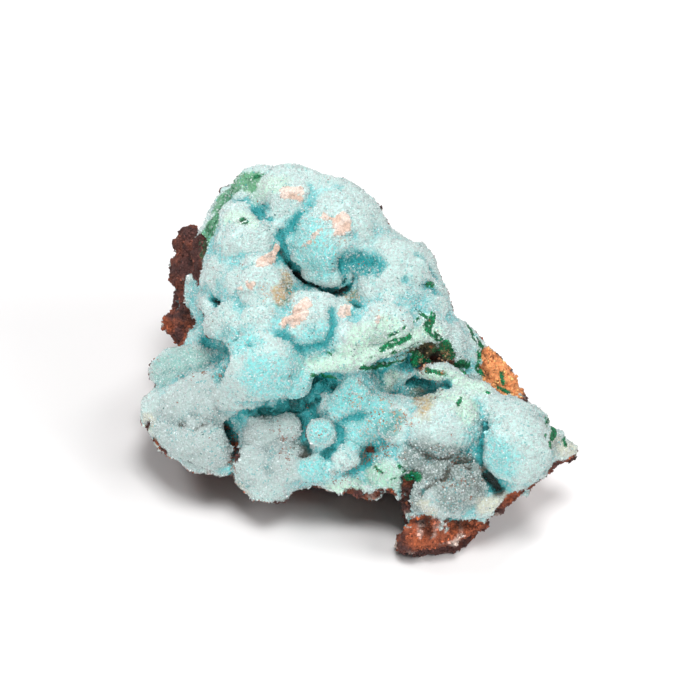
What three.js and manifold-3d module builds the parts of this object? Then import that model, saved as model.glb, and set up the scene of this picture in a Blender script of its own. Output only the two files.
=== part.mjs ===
// A hand specimen of chrysocolla with malachite: rounded druse-coated lumps grown over a block of
// rusty iron rock. It formed as one piece, so it is one solid, in millimetres, +Z up, resting on z = 0.
import * as THREE from "three";
import { ImprovedNoise } from "three/addons/math/ImprovedNoise.js";
import { mergeVertices } from "three/addons/utils/BufferGeometryUtils.js";
import Module from "manifold-3d";

const wasm = await Module();
wasm.setup();

// The face of the specimen is looked at from above and in front, so its lumps are placed by where they
// are seen from there: millimetres across and up on a sheet through the middle of the stone.
const LOOK_DOWN = THREE.MathUtils.degToRad(42);
const MIDDLE_OF_STONE = new THREE.Vector3(0, -19, 17);
const EYE_DISTANCE = 450;
const ACROSS = new THREE.Vector3(1, 0, 0);
const UPWARD = new THREE.Vector3(0, Math.sin(LOOK_DOWN), Math.cos(LOOK_DOWN));
const OUTWARD = new THREE.Vector3(0, -Math.cos(LOOK_DOWN), Math.sin(LOOK_DOWN));
const EYE = MIDDLE_OF_STONE.clone().addScaledVector(OUTWARD, EYE_DISTANCE);

// The surface is a net of square cells NET_STEP wide over a space that holds the whole stone. Lumps run
// into each other over about CREASE, hollows over about LIP, and all of it wanders as noise does.
const NET_STEP = 2.3;
const PINCH_FILL = 0.1 * NET_STEP;
const SPACE = new THREE.Box3(new THREE.Vector3(-48, -72, -9), new THREE.Vector3(52, 22, 58));
const CREASE = 0.45;
const LIP = 0.4;
const WANDER = 0.9;
const WAVELENGTH = 8;
const GROUND_CUT = 60;

// Each row: across, up, height of the middle over the table, half width, half height, half depth, and
// an optional turn in degrees, anticlockwise as seen. The bulk is what the crust's lumps stand on.
const BULK = [
  [-8.0, 16.0, 28.6, 17.0, 16.0, 15.6],
  [6.0, 9.0, 23.6, 13.0, 12.0, 12.8],
  [-4.0, -4.0, 15.0, 24.0, 10.0, 14.6],
  [-27.0, -13.0, 8.0, 12.0, 9.0, 9.2],
  [-4.0, -18.0, 7.0, 18.0, 9.0, 10.8],
  [25.0, -17.0, 11.0, 14.0, 9.0, 8.2],
  [18.0, -33.0, 2.5, 8.0, 5.6, 7.0],
  [-27.0, 13.0, 22.6, 6.0, 12.0, 9.0],
  [-29.0, 1.0, 14.0, 5.0, 6.0, 8.0],
  [21.0, -5.0, 14.0, 7.0, 7.0, 8.0],
  [-13.0, 3.6, 24.0, 9.0, 6.0, 8.6],
  [1.0, 4.0, 26.0, 10.0, 6.0, 7.6],
];
const CROWN = [
  [-11.6, 31.2, 45.0, 7.0, 6.0, 7.0],
  [-17.4, 31.4, 42.0, 4.8, 4.2, 6.0],
  [-2.4, 24.0, 39.6, 8.6, 10.0, 10.0, 20],
  [8.0, 14.0, 34.0, 8.6, 8.6, 9.0],
  [15.0, 8.6, 28.3, 5.0, 6.0, 7.0],
  [20.0, 1.6, 23.7, 3.6, 6.0, 6.0, 20],
  [5.0, 9.4, 32.6, 5.8, 5.2, 6.0],
];
const NOSE = [[-4.6, 20.4, 40.2, 4.9, 7.0, 7.0, 30]];
const GREEN_SHOULDER = [
  [-22.0, 29.0, 39.0, 4.8, 4.4, 6.0],
  [-25.6, 24.8, 36.0, 4.0, 4.2, 6.0],
  [-28.2, 20.6, 32.0, 3.6, 4.0, 6.0],
];
const LEFT_COLUMN = [
  [-21.4, 26.4, 41.6, 5.0, 3.6, 4.6],
  [-20.8, 21.4, 39.6, 7.4, 4.8, 6.4],
  [-24.6, 14.6, 32.6, 5.8, 4.8, 6.2],
  [-17.6, 12.6, 35.8, 5.8, 6.0, 6.4],
  [-24.4, 5.0, 27.4, 5.4, 5.2, 5.6],
  [-17.6, 5.4, 31.6, 6.0, 6.0, 6.4],
  [-28.6, 9.2, 27.2, 2.2, 2.6, 3.0],
];
const BELOW_THE_VUG = [
  [-7.0, 7.4, 33.6, 6.0, 5.2, 6.2],
  [-7.6, 11.0, 38.0, 2.2, 1.8, 2.6],
  [-3.0, 10.6, 38.0, 2.2, 1.8, 2.6],
  [-11.6, 4.0, 33.0, 3.4, 3.0, 4.4],
  [7.0, 5.4, 32.4, 7.4, 4.0, 5.4],
  [0.4, 2.0, 31.4, 4.6, 4.4, 5.4],
];
const LEDGE = [
  [-4.0, -3.4, 27.3, 4.8, 2.4, 4.2, 8],
  [2.0, -1.8, 28.3, 5.4, 2.4, 4.2, 14],
  [8.4, 0.2, 28.8, 5.4, 2.6, 4.2, 20],
  [14.4, 2.8, 28.0, 4.8, 2.8, 4.2, 24],
  [17.4, -4.4, 24.0, 4.6, 3.0, 4.0, -10],
];
const GREAT_DOME = [
  [-17.6, -3.6, 26.4, 8.0, 8.0, 8.4],
  [-22.8, -7.4, 22.5, 4.4, 4.6, 5.4],
  [-11.4, -6.6, 24.5, 4.4, 4.8, 5.4],
  [-9.0, 0.8, 29.4, 5.4, 4.2, 5.6],
];
const GREY_LOBES = [
  [-32.4, -3.6, 14.7, 7.0, 4.6, 6.0, 18],
  [-29.4, -10.4, 16.6, 8.0, 6.0, 6.6, 10],
  [-37.2, -13.4, 11.7, 4.6, 6.2, 5.6],
  [-28.6, -19.0, 11.2, 6.8, 6.6, 6.6],
  [-34.0, -18.0, 10.5, 5.0, 5.0, 5.4],
  [-17.6, -16.4, 15.0, 3.8, 4.4, 4.6],
  [-13.0, -15.6, 15.0, 3.8, 4.0, 4.4],
  [-19.8, -22.6, 9.7, 5.2, 5.0, 5.4],
  [-16.6, -27.2, 7.0, 4.8, 4.4, 5.0],
  [-11.6, -23.0, 11.0, 5.2, 5.2, 5.0],
];
const APRON = [
  [-6.2, -16.6, 19.6, 2.8, 2.8, 3.6],
  [-7.2, -24.0, 12.6, 4.4, 3.4, 4.0],
  [-0.6, -21.4, 14.0, 4.4, 4.0, 4.4],
  [0.0, -11.0, 18.8, 7.0, 5.6, 6.4],
  [0.4, -7.6, 24.5, 3.4, 1.8, 2.4],
  [8.4, -15.0, 18.3, 6.8, 5.8, 5.8],
  [2.4, -15.6, 17.0, 4.2, 4.0, 4.4],
  [7.0, -24.8, 12.0, 5.6, 3.8, 4.2],
  [-1.0, -26.4, 9.3, 5.0, 2.8, 3.4],
];
const RIGHT_WING = [
  [18.0, -15.6, 19.0, 8.0, 6.6, 7.2],
  [23.0, -9.4, 20.6, 7.0, 3.6, 5.0, -16],
  [33.0, -20.0, 16.4, 7.0, 8.4, 8.2],
  [30.6, -12.8, 18.0, 6.0, 3.0, 5.0, -30],
  [39.6, -19.6, 14.0, 4.4, 3.2, 3.2, -24],
  [44.0, -19.9, 13.4, 3.0, 1.6, 2.0, -10],
  [24.0, -26.0, 12.3, 4.2, 4.0, 4.6],
  [18.0, -30.0, 9.7, 6.4, 4.6, 5.4],
  [17.6, -24.4, 13.0, 4.6, 4.2, 4.4],
  [12.4, -21.0, 15.0, 5.2, 3.0, 3.6],
  [28.0, -31.0, 9.0, 4.4, 2.6, 3.4, 35],
];

// Rusty rock where it shows past the crust: the foot, the rim under the wing, the left side, and the
// orange nodule.
const SHOWN_ROCK = [
  [16.4, -37.6, 3.0, 7.6, 3.4, 5.6, 4],
  [28.4, -32.0, 6.8, 4.6, 2.0, 4.0, 38],
  [33.8, -27.6, 8.4, 4.8, 2.0, 4.0, 38],
  [38.8, -23.8, 10.4, 4.6, 1.9, 4.0, 34],
  [-31.6, 21.0, 27.4, 2.6, 3.6, 4.6],
  [-32.2, 16.0, 24.0, 3.0, 4.2, 4.6],
  [-32.8, 9.6, 19.0, 2.6, 4.4, 4.6],
  [-33.2, 4.6, 16.0, 3.4, 3.4, 4.6],
  [28.4, -4.8, 13.4, 3.6, 5.2, 6.0],
  [32.6, -9.2, 13.4, 2.0, 1.8, 3.0],
  [24.4, -0.6, 19.0, 3.0, 5.0, 5.0, 20],
  [12.4, -29.4, 9.8, 2.2, 4.0, 3.4],
  [3.6, -28.6, 8.0, 4.2, 2.4, 3.4],
];

// The block of rock behind and beneath, hidden by the crust, and the feet it rests on: x, y and z of
// the middle, and three half sizes.
const ROCK_BLOCKS = [
  [-10, -8, 24, 19, 14, 20],
  [-21, 0, 18, 12, 10, 18],
  [8, -18, 18, 13, 12, 14],
  [-6, 4, 14, 20, 10, 14],
  [-22, -27, 11, 15, 13, 9],
  [18, -38, 10, 16, 11, 8],
  [0, -40, 9, 14, 9, 7],
  [8, -4, 8, 12, 10, 9],
];
const FEET = [
  [-25, -24, 2, 8, 8, 6],
  [-17, 6, 2, 8, 6, 7],
  [10, -1, 2, 8, 7, 7],
  [18, -52, 2.5, 8, 7, 5],
];

// Hollows sunk into the finished lumps, in the same terms as the lumps. The last of them, the vug, goes
// in under the nose.
const HOLLOWS = [
  [16.0, -7.0, 24.0, 4.6, 1.9, 5.0, -6],
  [15.0, -1.8, 27.4, 4.4, 2.0, 4.0, 10],
  [-12.0, -11.6, 19.0, 6.8, 1.5, 4.5, 4],
  [-3.8, -6.8, 25.0, 3.2, 1.8, 4.0],
  [4.0, -19.8, 16.4, 2.0, 1.7, 3.0],
  [27.4, -16.4, 20.0, 1.4, 3.6, 4.0],
  [28.6, -26.6, 13.6, 3.2, 1.8, 4.0, -35],
  [-23.2, -18.6, 13.0, 1.5, 5.0, 3.6, 8],
  [-27.4, 9.6, 29.0, 1.6, 1.2, 2.4],
  [-8.8, 14.6, 38.0, 6.4, 2.1, 8.0, -40],
  [-3.2, 12.4, 36.6, 3.8, 2.2, 8.0, -10],
  [-0.4, 15.0, 38.0, 2.0, 3.2, 7.0],
];

const perlin = new ImprovedNoise();

// How far the surface stands proud at a point: two waves of noise, one half the other.
function proud(point) {
  const wave = (size) => perlin.noise(point.x / size, point.y / size, point.z / size);
  return WANDER * (wave(WAVELENGTH) + 0.5 * wave(WAVELENGTH / 2));
}

// The place seen at (across, up) on the sheet, and at that height over the table.
function seenAt(across, up, height) {
  const onSheet = MIDDLE_OF_STONE.clone().addScaledVector(ACROSS, across).addScaledVector(UPWARD, up);
  const share = (height - EYE.z) / (onSheet.z - EYE.z);
  return EYE.clone().lerp(onSheet, share);
}

// A lump is a ball stretched to three half sizes: kept as those, and the matrix back to the ball.
function lump(middle, halves, axes) {
  const fromBall = new THREE.Matrix4().makeBasis(...axes);
  fromBall.scale(new THREE.Vector3(...halves)).setPosition(middle);
  return { halves, toBall: fromBall.invert() };
}

function seenLump([across, up, height, halfWidth, halfHeight, halfDepth, turn = 0]) {
  const angle = THREE.MathUtils.degToRad(turn);
  const along = ACROSS.clone().applyAxisAngle(OUTWARD, angle);
  const beside = UPWARD.clone().applyAxisAngle(OUTWARD, angle);
  return lump(seenAt(across, up, height), [halfWidth, halfHeight, halfDepth], [along, beside, OUTWARD]);
}

function block([x, y, z, ...halves]) {
  const upright = [ACROSS, new THREE.Vector3(0, 1, 0), new THREE.Vector3(0, 0, 1)];
  return lump(new THREE.Vector3(x, y, z), halves, upright);
}

// About how far a point is outside a lump, in millimetres, and below zero inside it.
function outside(point, { halves, toBall }) {
  const ball = point.clone().applyMatrix4(toBall);
  const reach = ball.length();
  const steepness = Math.hypot(ball.x / halves[0], ball.y / halves[1], ball.z / halves[2]);
  return steepness > 0 ? (reach * (reach - 1)) / steepness : -Math.min(...halves);
}

// The same for a heap of lumps that run into each other over about that blend.
function outsideAll(point, lumps, blend) {
  const nearness = lumps.reduce((sum, one) => sum + Math.exp(-outside(point, one) / blend), 0);
  return -blend * Math.log(nearness);
}

// Where two corners of a square of the net are inside and the other two out, crosswise, the surface
// would touch itself along an edge: the nearer of the outer two is filled until no such square is left.
function fillPinches(values, stride) {
  const isIn = (place) => values[place] < 0;
  for (let filled = true; filled; ) {
    filled = false;
    for (let axis = 0; axis < 3; axis++) {
      const [one, two] = [stride[(axis + 1) % 3], stride[(axis + 2) % 3]];
      for (let a = 0; a < values.length - one - two; a++) {
        const [b, c, d] = [a + one, a + one + two, a + two];
        if (isIn(a) !== isIn(c) || isIn(b) !== isIn(d) || isIn(a) === isIn(b)) continue;
        const [near, far] = isIn(a) ? [b, d] : [a, c];
        values[values[near] < values[far] ? near : far] = -PINCH_FILL;
        filled = true;
      }
    }
  }
}

// One point in each cell that the surface crosses, at the mean of its crossings of the cell's edges,
// and a square of two triangles about each edge of the net that it crosses.
function surfaceNet(outsideAt) {
  const extent = SPACE.getSize(new THREE.Vector3());
  const counts = extent.toArray().map((length) => Math.ceil(length / NET_STEP) + 1);
  const stride = [1, counts[0], counts[0] * counts[1]];
  const places = [];
  for (let k = 0; k < counts[2]; k++) {
    for (let j = 0; j < counts[1]; j++) {
      for (let i = 0; i < counts[0]; i++) {
        places.push(new THREE.Vector3(i, j, k).multiplyScalar(NET_STEP).add(SPACE.min));
      }
    }
  }
  const values = places.map(outsideAt);
  fillPinches(values, stride);
  const isCut = (near, far) => values[near] < 0 !== values[far] < 0;
  const crossing = (near, far) =>
    places[near].clone().lerp(places[far], values[near] / (values[near] - values[far]));

  const positions = [];
  const pointOf = new Map();
  function cellPoint(corner) {
    if (!pointOf.has(corner)) {
      const crossings = [];
      for (let axis = 0; axis < 3; axis++) {
        const [one, two] = [stride[(axis + 1) % 3], stride[(axis + 2) % 3]];
        for (const near of [corner, corner + one, corner + two, corner + one + two]) {
          const far = near + stride[axis];
          if (isCut(near, far)) crossings.push(crossing(near, far));
        }
      }
      const sum = crossings.reduce((total, next) => total.add(next), new THREE.Vector3());
      pointOf.set(corner, positions.length / 3);
      positions.push(...sum.divideScalar(crossings.length));
    }
    return pointOf.get(corner);
  }

  const triangles = [];
  for (let near = stride[2]; near < places.length - stride[2]; near++) {
    for (let axis = 0; axis < 3; axis++) {
      const far = near + stride[axis];
      if (!isCut(near, far)) continue;
      const [one, two] = [stride[(axis + 1) % 3], stride[(axis + 2) % 3]];
      const ring = [near - one - two, near - two, near, near - one].map(cellPoint);
      if (values[near] > 0) ring.reverse();
      triangles.push(ring[0], ring[1], ring[2], ring[0], ring[2], ring[3]);
    }
  }
  const net = new THREE.BufferGeometry();
  net.setAttribute("position", new THREE.Float32BufferAttribute(positions, 3));
  return net.setIndex(triangles);
}

function solidOf(geometry) {
  const bare = geometry.clone();
  bare.deleteAttribute("normal");
  bare.deleteAttribute("uv");
  const merged = mergeVertices(bare);
  const triVerts = new Uint32Array(merged.index.array);
  const vertProperties = merged.getAttribute("position").array;
  return new wasm.Manifold(new wasm.Mesh({ numProp: 3, vertProperties, triVerts }));
}

function geometryOf(solid) {
  const { vertProperties, triVerts } = solid.getMesh();
  const geometry = new THREE.BufferGeometry();
  geometry.setAttribute("position", new THREE.BufferAttribute(vertProperties, 3));
  geometry.setIndex(new THREE.BufferAttribute(triVerts, 1));
  geometry.computeVertexNormals();
  return geometry;
}

// The heap of bulk, crust and rock, less the hollows, with the nose over the vug. What would be under
// the table is cut off flat, which makes the feet.
function specimen() {
  const seen = [
    ...BULK, ...CROWN, ...GREEN_SHOULDER, ...LEFT_COLUMN, ...BELOW_THE_VUG, ...LEDGE,
    ...GREAT_DOME, ...GREY_LOBES, ...APRON, ...RIGHT_WING, ...SHOWN_ROCK,
  ];
  const heap = [...seen.map(seenLump), ...[...ROCK_BLOCKS, ...FEET].map(block)];
  const hollows = HOLLOWS.map(seenLump);
  const nose = NOSE.map(seenLump);
  const whole = surfaceNet((point) => {
    const overHeap = outsideAll(point, heap, CREASE);
    const overHollows = outsideAll(point, hollows, LIP);
    const hollowed = LIP * Math.log(Math.exp(overHeap / LIP) + Math.exp(-overHollows / LIP));
    return Math.min(hollowed, outsideAll(point, nose, CREASE)) - proud(point);
  });
  const ground = new THREE.BoxGeometry(4 * GROUND_CUT, 4 * GROUND_CUT, GROUND_CUT);
  ground.translate(0, 0, -GROUND_CUT / 2);
  return geometryOf(solidOf(whole).subtract(solidOf(ground)));
}

const stone = new THREE.Mesh(
  specimen(),
  new THREE.MeshStandardMaterial({ color: 0x9fdcdc, roughness: 0.45, metalness: 0 }),
);
stone.name = "specimen";
stone.geometry.computeBoundingBox();
const underMiddle = stone.geometry.boundingBox.getCenter(new THREE.Vector3()).setZ(0);
stone.position.copy(underMiddle).negate();

const group = new THREE.Group();
group.add(stone);

export default group;
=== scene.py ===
import bmesh
import bpy
import numpy as np
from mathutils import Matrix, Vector
from mathutils.bvhtree import BVHTree


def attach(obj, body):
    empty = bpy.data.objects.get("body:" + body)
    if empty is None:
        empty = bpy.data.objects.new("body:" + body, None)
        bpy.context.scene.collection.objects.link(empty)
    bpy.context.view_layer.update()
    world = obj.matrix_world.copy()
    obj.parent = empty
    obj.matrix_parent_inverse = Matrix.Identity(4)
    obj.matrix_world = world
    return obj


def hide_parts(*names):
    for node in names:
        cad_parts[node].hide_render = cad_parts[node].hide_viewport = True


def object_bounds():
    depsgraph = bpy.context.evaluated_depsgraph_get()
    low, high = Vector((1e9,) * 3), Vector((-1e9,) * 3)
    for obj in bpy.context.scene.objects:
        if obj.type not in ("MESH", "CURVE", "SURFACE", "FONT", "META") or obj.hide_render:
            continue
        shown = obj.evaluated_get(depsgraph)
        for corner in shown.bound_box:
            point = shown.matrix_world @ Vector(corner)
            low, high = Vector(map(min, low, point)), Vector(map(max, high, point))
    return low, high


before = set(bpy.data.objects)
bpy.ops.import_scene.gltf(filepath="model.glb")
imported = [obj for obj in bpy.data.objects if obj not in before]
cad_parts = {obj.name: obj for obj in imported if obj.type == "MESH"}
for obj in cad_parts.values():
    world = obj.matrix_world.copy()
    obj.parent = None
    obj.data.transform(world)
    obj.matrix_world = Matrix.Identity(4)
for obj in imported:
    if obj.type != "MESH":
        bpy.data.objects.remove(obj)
cad_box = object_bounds()

# Where it is seen from. The eye stands in front of the stone and looks 42 degrees down at its middle.
# Places on the stone are given as millimetres across and up, on a sheet through the middle that faces
# the eye, so a place is named by where it shows.
LOOK_DOWN = np.radians(42)
MIDDLE_OF_STONE = np.array([-1.54, 4.71, 17.0])
EYE_DISTANCE = 450.0
ACROSS = np.array([1.0, 0.0, 0.0])
UPWARD = np.array([0.0, np.sin(LOOK_DOWN), np.cos(LOOK_DOWN)])
OUTWARD = np.array([0.0, -np.cos(LOOK_DOWN), np.sin(LOOK_DOWN)])
EYE = MIDDLE_OF_STONE + EYE_DISTANCE * OUTWARD
SHEET_WIDTH = 140.0
SENSOR = 36.0
MM = 0.001
NEAREST_SEEN = 0.01

camera_data = bpy.data.cameras.new("camera")
camera_data.sensor_width = SENSOR
camera_data.sensor_height = SENSOR
camera_data.sensor_fit = "HORIZONTAL"
camera_data.lens = SENSOR * EYE_DISTANCE / SHEET_WIDTH
camera_data.clip_start = NEAREST_SEEN
camera = bpy.data.objects.new("camera", camera_data)
camera.location = Vector(EYE * MM)
camera.rotation_euler = (np.pi / 2 - LOOK_DOWN, 0.0, 0.0)
bpy.context.scene.collection.objects.link(camera)
bpy.context.scene.camera = camera


# The light. A dim white room and square lamps, all at one distance in metres from the middle of the stone:
# a strong one overhead, weaker ones at the left and behind, and one in front for the stone alone.
ROOM = 0.12
ROOM_LIGHT = (1.0, 0.995, 0.99, 1.0)
LAMP_DISTANCE = 0.9
bpy.context.scene.view_settings.view_transform = "Standard"
room = bpy.data.worlds.new("room")
room.use_nodes = True
room.node_tree.nodes["Background"].inputs["Color"].default_value = ROOM_LIGHT
room.node_tree.nodes["Background"].inputs["Strength"].default_value = ROOM
bpy.context.scene.world = room


def lamp(name, towards, width, power):
    """A square lamp, its width in metres and its power in watts, that faces the middle of the stone."""
    data = bpy.data.lights.new(name, "AREA")
    data.size = width
    data.energy = power
    made = bpy.data.objects.new(name, data)
    direction = Vector(towards).normalized()
    made.location = Vector(MIDDLE_OF_STONE * MM) + direction * LAMP_DISTANCE
    made.rotation_euler = direction.to_track_quat("Z", "Y").to_euler()
    bpy.context.scene.collection.objects.link(made)
    return made


lamp("top_lamp", (0.1, -0.1, 1.0), 0.35, 5.4)
lamp("left_lamp", (-0.85, 0.5, 0.8), 0.3, 2.7)
lamp("back_lamp", (0.45, 0.6, 0.8), 0.2, 2.0)
# The table is lit beyond white, as in the photograph, by two lamps that don't reach the stone: one above
# it, and one at the right that shines in under the raised tip. The front lamp is kept off the table, as
# a card would, so that the shadow under the front edge stays dark.
stone_alone = bpy.data.collections.new("stone_alone")
table_alone = bpy.data.collections.new("table_alone")
front_lamp = lamp("front_lamp", (-0.15, -0.85, 0.55), 0.4, 5.8)
front_lamp.light_linking.receiver_collection = stone_alone
table_lamp = lamp("table_lamp", (0.1, -0.1, 1.0), 0.35, 0.7)
table_lamp.light_linking.receiver_collection = table_alone
right_lamp = lamp("right_lamp", (1.0, -0.35, 0.48), 0.5, 7.0)
right_lamp.light_linking.receiver_collection = table_alone


# The stone's surface. The solid's own surface, closed, is made finer and its facets are smoothed away.
# It is kept as arrays of points and outward directions in millimetres until it is shaped and coloured.
# Its net is this fine in millimetres, and is smoothed for this many rounds.
FINE = 0.485
SMOOTHINGS = 34


def fine_copy(node, name):
    """A copy of a CAD node's closed surface on a fine square net, with its facets smoothed away."""
    mesh = node.data.copy()
    joined = bmesh.new()
    joined.from_mesh(mesh)
    bmesh.ops.remove_doubles(joined, verts=joined.verts, dist=1e-6)
    joined.to_mesh(mesh)
    joined.free()
    rough = bpy.data.objects.new(name, mesh)
    bpy.context.scene.collection.objects.link(rough)
    net = rough.modifiers.new("net", "REMESH")
    net.mode = "VOXEL"
    net.voxel_size = FINE * MM
    smooth = rough.modifiers.new("smooth", "SMOOTH")
    smooth.factor = 0.5
    smooth.iterations = SMOOTHINGS
    evaluated = rough.evaluated_get(bpy.context.evaluated_depsgraph_get())
    fine = bpy.data.meshes.new_from_object(evaluated)
    bpy.data.objects.remove(rough)
    fine.name = name
    return fine


def points_of(mesh):
    """The points of a mesh, in millimetres."""
    points = np.empty(len(mesh.vertices) * 3, np.float32)
    mesh.vertices.foreach_get("co", points)
    return points.reshape(-1, 3).astype(float) / MM


def outward_of(mesh):
    """The outward direction at each point of a mesh."""
    normals = np.empty(len(mesh.vertices) * 3, np.float32)
    mesh.vertices.foreach_get("normal", normals)
    return normals.reshape(-1, 3).astype(float)


def tree_of(mesh, places):
    """The tree to look into for the faces of a mesh, whose points are given in millimetres."""
    return BVHTree.FromPolygons(places.tolist(), [list(face.vertices) for face in mesh.polygons])


stone_mesh = fine_copy(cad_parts["specimen"], "stone")
points = points_of(stone_mesh)
outward = outward_of(stone_mesh)
tree = tree_of(stone_mesh, points)


def seen(across, up):
    """The place on the stone seen at that many millimetres across and up.

    Past the edge of the stone, it is the first place met on the way to the middle.
    """
    for shrunk in np.arange(1.0, 0.5, -0.01):
        onto = MIDDLE_OF_STONE + shrunk * (across * ACROSS + up * UPWARD)
        place = tree.ray_cast(Vector(EYE), Vector(onto - EYE).normalized())[0]
        if place is not None:
            return np.array(place)
    return MIDDLE_OF_STONE


def random_at(corner, seed):
    """A number from 0 to 1 for each corner of a lattice, from its three whole numbers and a seed.

    They are multiplied by large odd numbers and their bits are mixed, until no order is left in them.
    """
    a, b, c = (corner[:, i].astype(np.int64).astype(np.uint32) for i in range(3))
    bits = a * np.uint32(73856093) ^ b * np.uint32(19349663) ^ c * np.uint32(83492791)
    bits ^= np.uint32(seed * 7919 + 17)
    bits = (bits ^ (bits >> np.uint32(15))) * np.uint32(2246822519)
    bits = (bits ^ (bits >> np.uint32(13))) * np.uint32(3266489917)
    return (bits ^ (bits >> np.uint32(16))).astype(float) / (2.0**32 - 1)


def waves(places, size, seed):
    """Smooth noise from -1 to 1: random numbers on a lattice of that size, eased from corner to corner."""
    scaled = places / size
    corner = np.floor(scaled)
    t = scaled - corner
    t = t * t * (3 - 2 * t)
    total = np.zeros(len(places))
    for i in (0, 1):
        for j in (0, 1):
            for k in (0, 1):
                step = np.array([i, j, k])
                share = np.prod(np.where(step == 1, t, 1 - t), axis=1)
                total += share * random_at(corner + step, seed)
    return 2 * total - 1


def cells(places, size, seed):
    """How far each place is from the nearest of the points strewn one to a lattice cell, in cell sizes."""
    scaled = places / size
    corner = np.floor(scaled)
    nearest = np.full(len(places), 9.0)
    for i in (-1, 0, 1):
        for j in (-1, 0, 1):
            for k in (-1, 0, 1):
                near = corner + np.array([i, j, k])
                spot = near + np.stack([random_at(near, seed + n) for n in range(3)], 1)
                nearest = np.minimum(nearest, np.linalg.norm(scaled - spot, axis=1))
    return nearest


def ease(value, low, high):
    """0 below low and 1 above high, with a smooth rise between them; high may be the smaller."""
    t = np.clip((value - low) / (high - low), 0, 1)
    return t * t * (3 - 2 * t)


def from_route(places, route):
    """How far each place is from a route over the stone, given as seen places; a lone one is a spot."""
    on_stone = [seen(*place) for place in route]
    best = np.linalg.norm(places - on_stone[0], axis=1)
    for start, end in zip(on_stone, on_stone[1:]):
        along = end - start
        share = np.clip((places - start) @ along / max(along @ along, 1e-9), 0, 1)
        best = np.minimum(best, np.linalg.norm(places - start - share[:, None] * along, axis=1))
    return best


# The form of the crust. Each knob is a round swelling: across, up, radius and rise. Where two meet, the
# higher one shows, which leaves the sharp valley that grown crusts have between their swellings.
KNOBS = [
    (-11.6, 31.0, 5.6, 1.3), (-17.6, 32.0, 4.0, 1.0), (-6.0, 33.0, 5.0, 1.0), (0.4, 25.0, 10.0, 1.6),
    (-10.0, 25.0, 4.4, 1.0), (-5.6, 19.0, 6.0, 1.4), (9.6, 15.6, 8.0, 1.5), (15.0, 10.0, 5.6, 1.2),
    (7.0, 5.6, 5.2, 1.2), (0.4, 2.0, 3.6, 1.0), (-7.0, 4.0, 4.8, 1.3), (-9.4, 10.0, 2.8, 0.9),
    (-5.0, 10.0, 3.2, 1.0), (-1.0, 9.6, 1.8, 0.6), (-22.4, 26.6, 3.8, 1.1), (-20.8, 21.6, 5.2, 1.3),
    (-24.6, 14.6, 5.2, 1.4), (-17.6, 12.6, 4.8, 1.3), (-28.6, 9.2, 2.0, 1.0), (-24.2, 5.0, 4.8, 1.3),
    (-17.6, 5.6, 4.4, 1.2), (-13.0, 15.0, 3.0, 0.6), (-17.6, -3.6, 8.4, 2.0), (-22.8, -7.4, 4.4, 1.1),
    (-11.4, -6.6, 4.4, 1.1), (-36.0, -3.0, 4.4, 1.1), (-31.0, -1.0, 3.6, 0.9), (-29.4, -8.4, 5.2, 1.1),
    (-35.0, -11.0, 4.0, 1.0), (-38.0, -15.0, 3.6, 0.9), (-32.0, -18.0, 5.2, 1.2), (-28.0, -20.0, 4.8, 1.2),
    (-40.0, -12.0, 2.4, 0.7), (-25.0, -11.0, 4.0, 0.9), (-17.6, -16.4, 3.6, 1.1), (-13.0, -15.0, 3.2, 1.0),
    (-19.4, -23.0, 4.0, 1.0), (-16.4, -28.0, 3.6, 1.0), (-12.0, -23.0, 3.6, 1.0), (-14.0, -20.0, 2.8, 0.8),
    (-6.2, -16.6, 3.2, 1.0), (-4.8, -17.6, 2.4, 0.9), (-7.2, -24.0, 3.6, 1.2), (-0.2, -21.4, 3.2, 1.2),
    (0.0, -11.0, 4.4, 1.0), (0.0, -7.6, 2.2, 1.0), (9.0, -15.0, 4.0, 0.9), (2.4, -15.6, 3.4, 0.9),
    (18.0, -16.0, 6.8, 1.3), (23.0, -9.0, 5.6, 0.9), (27.0, -7.6, 3.6, 0.7), (33.0, -20.0, 7.4, 2.0),
    (31.0, -12.4, 5.6, 1.2), (38.0, -17.0, 3.2, 0.7), (24.0, -26.4, 4.0, 1.3), (18.0, -30.0, 4.4, 1.2),
    (17.6, -24.0, 2.8, 1.0), (12.4, -21.0, 2.8, 0.9), (15.0, -28.0, 2.4, 0.8), (28.0, -32.0, 2.6, 0.8),
    (19.0, -33.4, 3.2, 0.8), (7.0, -25.0, 3.4, 0.6), (-1.0, -27.4, 2.4, 0.5), (28.6, -4.8, 4.4, 1.4),
    (-4.6, 14.4, 4.8, 3.0), (-8.4, 17.4, 3.4, 1.8), (-13.4, 33.4, 5.0, 1.4), (-20.0, 34.0, 5.0, 1.9),
    (-34.0, 23.0, 4.0, 1.5), (-35.0, 16.0, 3.6, 1.4), (-36.4, 5.0, 3.6, 1.8), (-39.4, -3.0, 4.0, 1.2),
    (-41.0, -12.0, 4.0, 1.2), (8.0, 29.0, 5.0, 1.1), (17.0, 18.0, 5.0, 1.1), (26.0, 3.4, 4.0, 1.0),
    (33.6, -7.4, 3.4, 1.2), (41.0, -14.6, 3.0, 1.0), (43.0, -17.6, 2.2, 0.8), (5.0, -11.0, 2.8, 0.6),
    (-13.0, 27.0, 5.0, 1.6), (-15.0, -11.2, 3.6, 2.4), (-10.0, -10.6, 3.6, 2.4), (-6.0, -8.6, 3.2, 1.8),
]
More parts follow.
